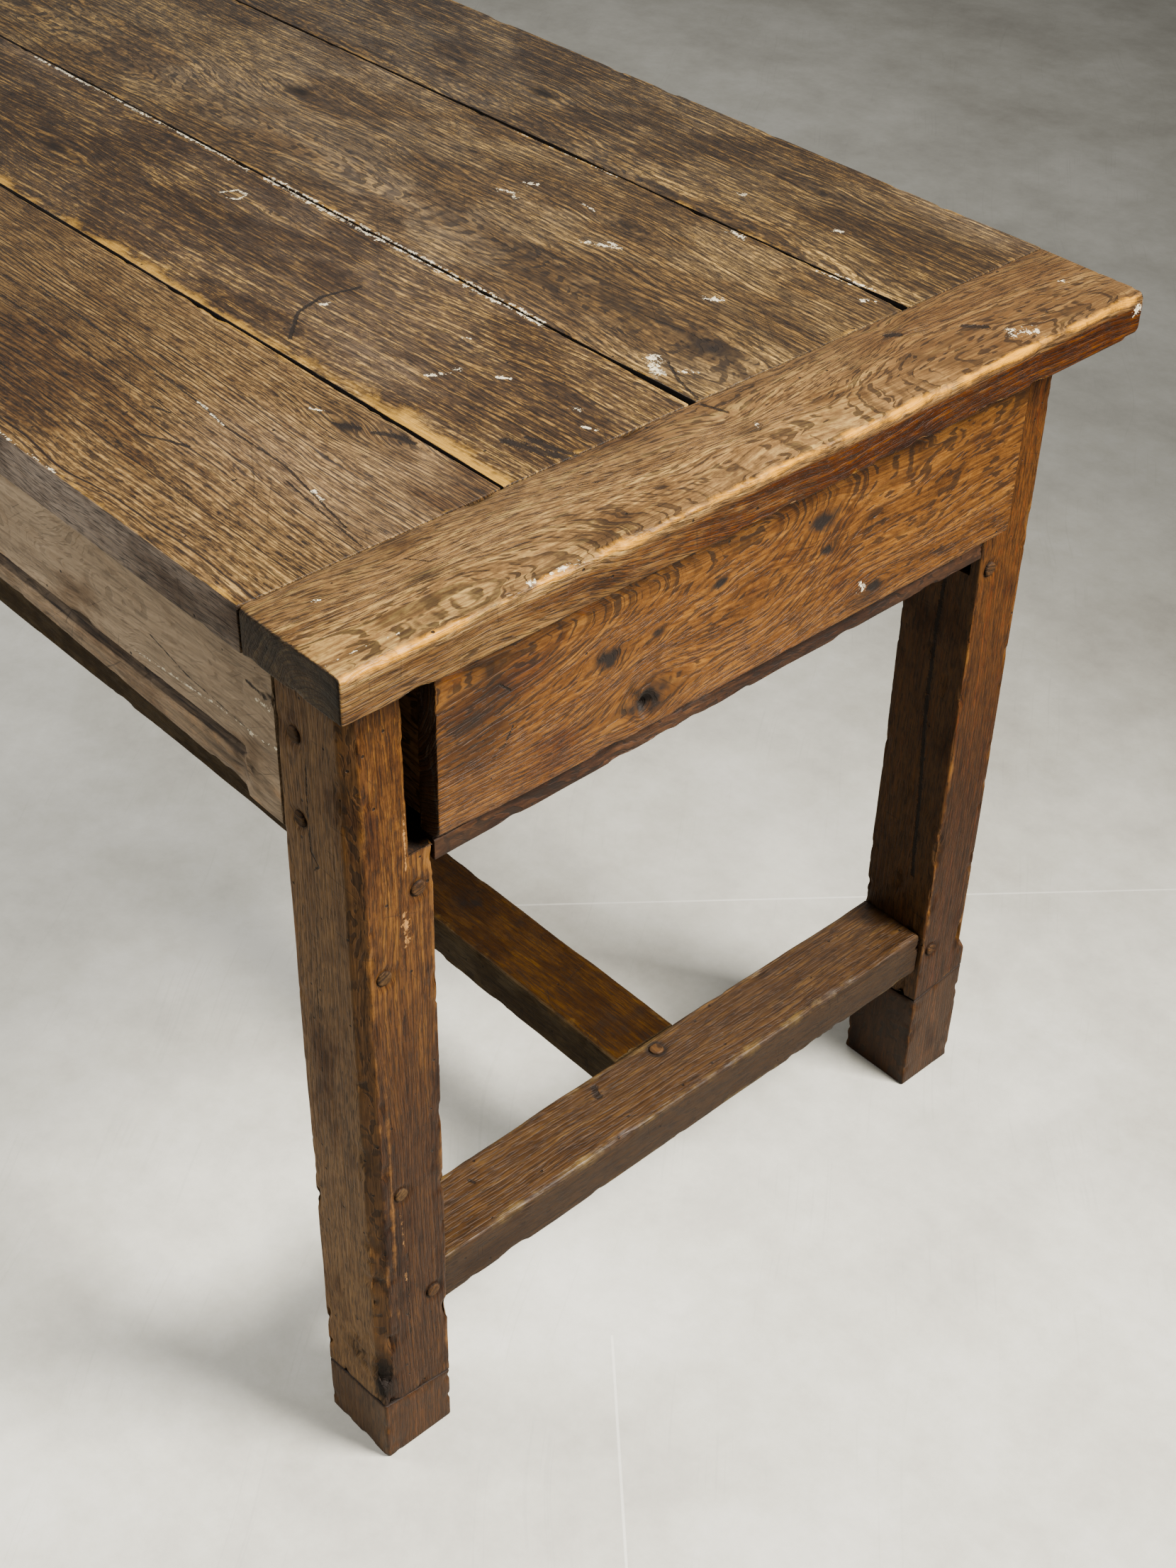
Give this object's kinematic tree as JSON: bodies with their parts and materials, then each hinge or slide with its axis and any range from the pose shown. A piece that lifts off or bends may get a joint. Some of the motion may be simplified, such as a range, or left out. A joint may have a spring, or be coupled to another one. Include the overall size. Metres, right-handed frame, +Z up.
{
  "type": "dining table",
  "caption": "Old oak refectory-style dining table: plank top with breadboard ends, square legs, deep aprons, low stretchers and a sliding end drawer.",
  "frame": {"origin": "on the floor under the middle of the top", "axes": "+X along the table towards the drawer end, +Y across it, +Z up"},
  "size_m": [2, 0.705, 0.76],
  "materials": {
    "top_oak": "old waxed plank top, worn, scratched and stained",
    "breadboard_oak": "old waxed board across the planks, worn golden along its edges",
    "leg_oak": "orange brown on the end faces, grey brown on the sides, worm holes",
    "tip_oak": "smoother brown pieced foot",
    "peg_oak": "dark round pegs, a little proud",
    "front_oak": "coarse golden grain with dark stains and knots",
    "drawer_oak": "dry pale unfinished wood inside the drawer",
    "stretcher_oak": "foot-worn, golden on top and grey brown on the sides",
    "apron_oak": "beige grey swirling grain with a dark rebate",
    "rail_oak": "dark ragged wood"
  },
  "bodies": {
    "frame": {"breadboard_drawer_end": "breadboard_oak", "breadboard_far_end": "breadboard_oak", "drawer_bearer": "rail_oak", "drawer_guide_left": "rail_oak", "drawer_guide_right": "rail_oak", "drawer_rail": "rail_oak", "drawer_runner_left": "rail_oak", "drawer_runner_right": "rail_oak", "end_stretcher_drawer_end": "stretcher_oak", "end_stretcher_far_end": "stretcher_oak", "far_end_apron": "apron_oak", "foot_tip_back_left": "tip_oak", "foot_tip_back_right": "tip_oak", "foot_tip_front_left": "tip_oak", "foot_tip_front_right": "tip_oak", "leg_back_left": "leg_oak", "leg_back_right": "leg_oak", "leg_front_left": "leg_oak", "leg_front_right": "leg_oak", "long_stretcher": "stretcher_oak", "peg_apron_lower_back_left": "peg_oak", "peg_apron_lower_back_right": "peg_oak", "peg_apron_lower_front_left": "peg_oak", "peg_apron_lower_front_right": "peg_oak", "peg_apron_upper_back_left": "peg_oak", "peg_apron_upper_back_right": "peg_oak", "peg_apron_upper_front_left": "peg_oak", "peg_apron_upper_front_right": "peg_oak", "peg_end_lower_back_left": "peg_oak", "peg_end_lower_back_right": "peg_oak", "peg_end_upper_back_left": "peg_oak", "peg_end_upper_back_right": "peg_oak", "peg_long_stretcher_drawer_end": "peg_oak", "peg_long_stretcher_far_end": "peg_oak", "peg_plug_lower_front_left": "peg_oak", "peg_plug_upper_front_left": "peg_oak", "peg_rail_front_left": "peg_oak", "peg_rail_front_right": "peg_oak", "peg_stretcher_back_left": "peg_oak", "peg_stretcher_back_right": "peg_oak", "peg_stretcher_front_left": "peg_oak", "peg_stretcher_front_right": "peg_oak", "side_apron_left": "apron_oak", "side_apron_right": "apron_oak", "top_bearer": "rail_oak", "top_plank_far": "top_oak", "top_plank_near": "top_oak", "top_plank_second": "top_oak", "top_plank_third": "top_oak"},
    "drawer": {"drawer_back": "drawer_oak", "drawer_bottom_left": "drawer_oak", "drawer_bottom_right": "drawer_oak", "drawer_front": "front_oak", "drawer_side_left": "drawer_oak", "drawer_side_right": "drawer_oak"}
  },
  "joints": [
    {"name": "drawer_slide", "type": "slide", "parent": "frame", "child": "drawer", "axis": [1, 0, 0], "range_m": [0, 0.4]}
  ]
}
